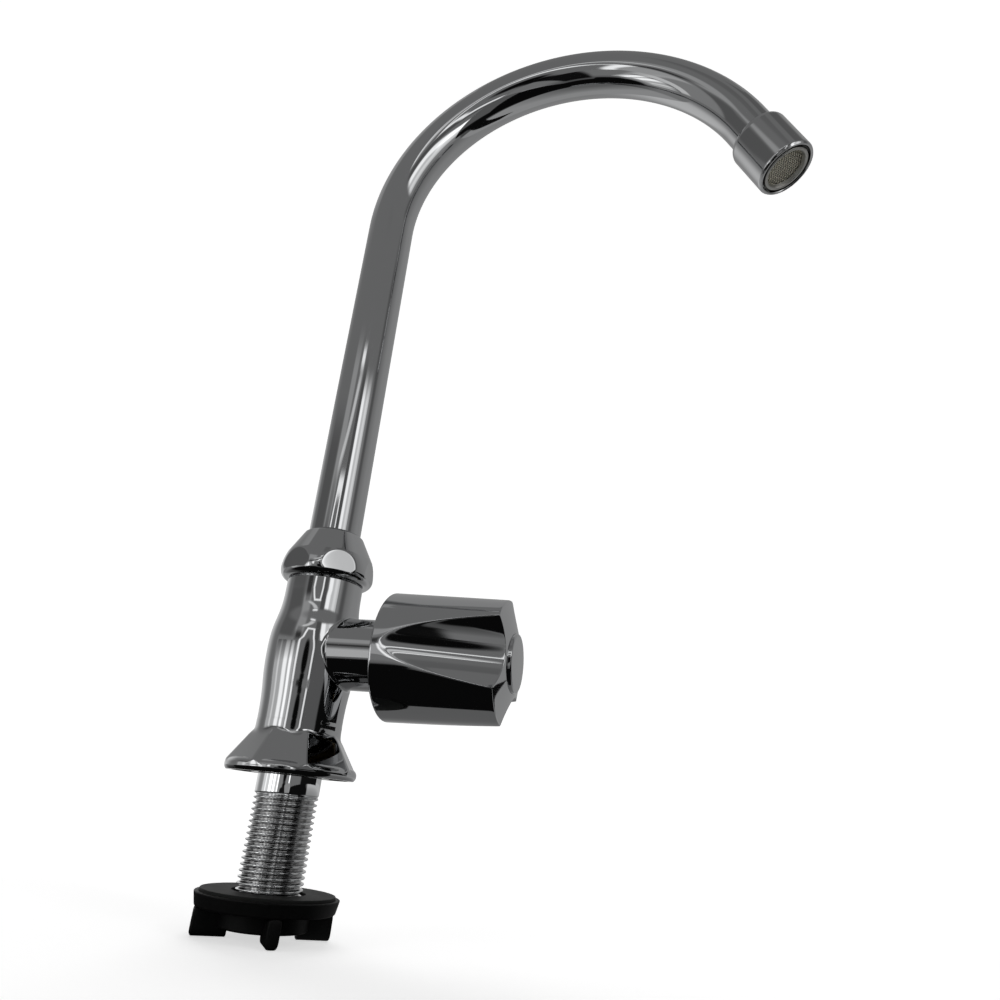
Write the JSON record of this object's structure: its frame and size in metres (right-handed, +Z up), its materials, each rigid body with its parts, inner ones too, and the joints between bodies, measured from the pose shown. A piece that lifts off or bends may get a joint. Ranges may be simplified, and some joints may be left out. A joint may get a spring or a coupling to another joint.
{
  "type": "kitchen tap",
  "caption": "Deck-mounted kitchen tap with a tall swivelling swan-neck spout, a fluted side knob on a screw-down valve, and a threaded shank with a plastic backnut.",
  "frame": {"origin": "centre of the base's underside, on the worktop", "axes": "+Z up the body's axis, the spout and the knob to -Y, +X to the right seen from the front"},
  "size_m": [0.0454, 0.1989, 0.3662],
  "materials": {
    "chrome_plate": "bright chrome plate on brass and zinc",
    "brass": "machined brass",
    "rubber": "moulded black rubber",
    "steel": "stainless steel",
    "black_plastic": "moulded matt black plastic",
    "grey_plastic": "moulded dark grey plastic",
    "white_plastic": "moulded natural plastic"
  },
  "bodies": {
    "tap_body": {"body": "chrome_plate", "base_seal": "rubber", "threaded_shank": "chrome_plate", "spout_nut": "chrome_plate", "spout_slip_washer": "white_plastic", "headgear": "brass", "headgear_gasket": "rubber"},
    "spout": {"spout_tube": "chrome_plate", "spout_ferrule": "brass", "spout_o_ring_lower": "rubber", "spout_o_ring_upper": "rubber", "aerator_adapter": "brass", "aerator_housing": "chrome_plate", "aerator_washer": "rubber", "aerator_insert": "white_plastic", "aerator_screen": "steel"},
    "handle": {"spindle": "brass", "spindle_o_ring_inner": "rubber", "spindle_o_ring_outer": "rubber", "spindle_clip": "steel", "knob": "chrome_plate", "knob_screw": "steel", "index_cap": "chrome_plate"},
    "valve": {"valve_carrier": "brass", "valve_washer": "rubber", "valve_washer_screw": "brass"},
    "clamp_washer": {"backnut_washer": "grey_plastic"},
    "clamp_nut": {"backnut": "black_plastic"}
  },
  "joints": [
    {"name": "spout_swivel", "type": "hinge", "parent": "tap_body", "child": "spout", "pos_m": [0, 0, 0.07], "axis": [0, 0, 1], "continuous": true},
    {"name": "handle_turn", "type": "hinge", "parent": "tap_body", "child": "handle", "pos_m": [0, -0.05, 0.0413], "axis": [0, -1, 0], "range_deg": [0, 540]},
    {"name": "valve_slide", "type": "slide", "parent": "tap_body", "child": "valve", "axis": [0, -1, 0], "range_m": [0, 0.003]},
    {"name": "clamp_run", "type": "slide", "parent": "tap_body", "child": "clamp_washer", "axis": [0, 0, 1], "range_m": [-0.06, 0.028]},
    {"name": "clamp_nut_turn", "type": "hinge", "parent": "clamp_washer", "child": "clamp_nut", "pos_m": [0, 0, -0.04], "axis": [0, 0, 1], "range_deg": [-11900, 5550]}
  ],
  "couplings": [
    {"joint": "valve_slide", "follows": "handle_turn", "m_per_rad": 0.00031831},
    {"joint": "clamp_run", "follows": "clamp_nut_turn", "m_per_rad": 0.00028871}
  ]
}
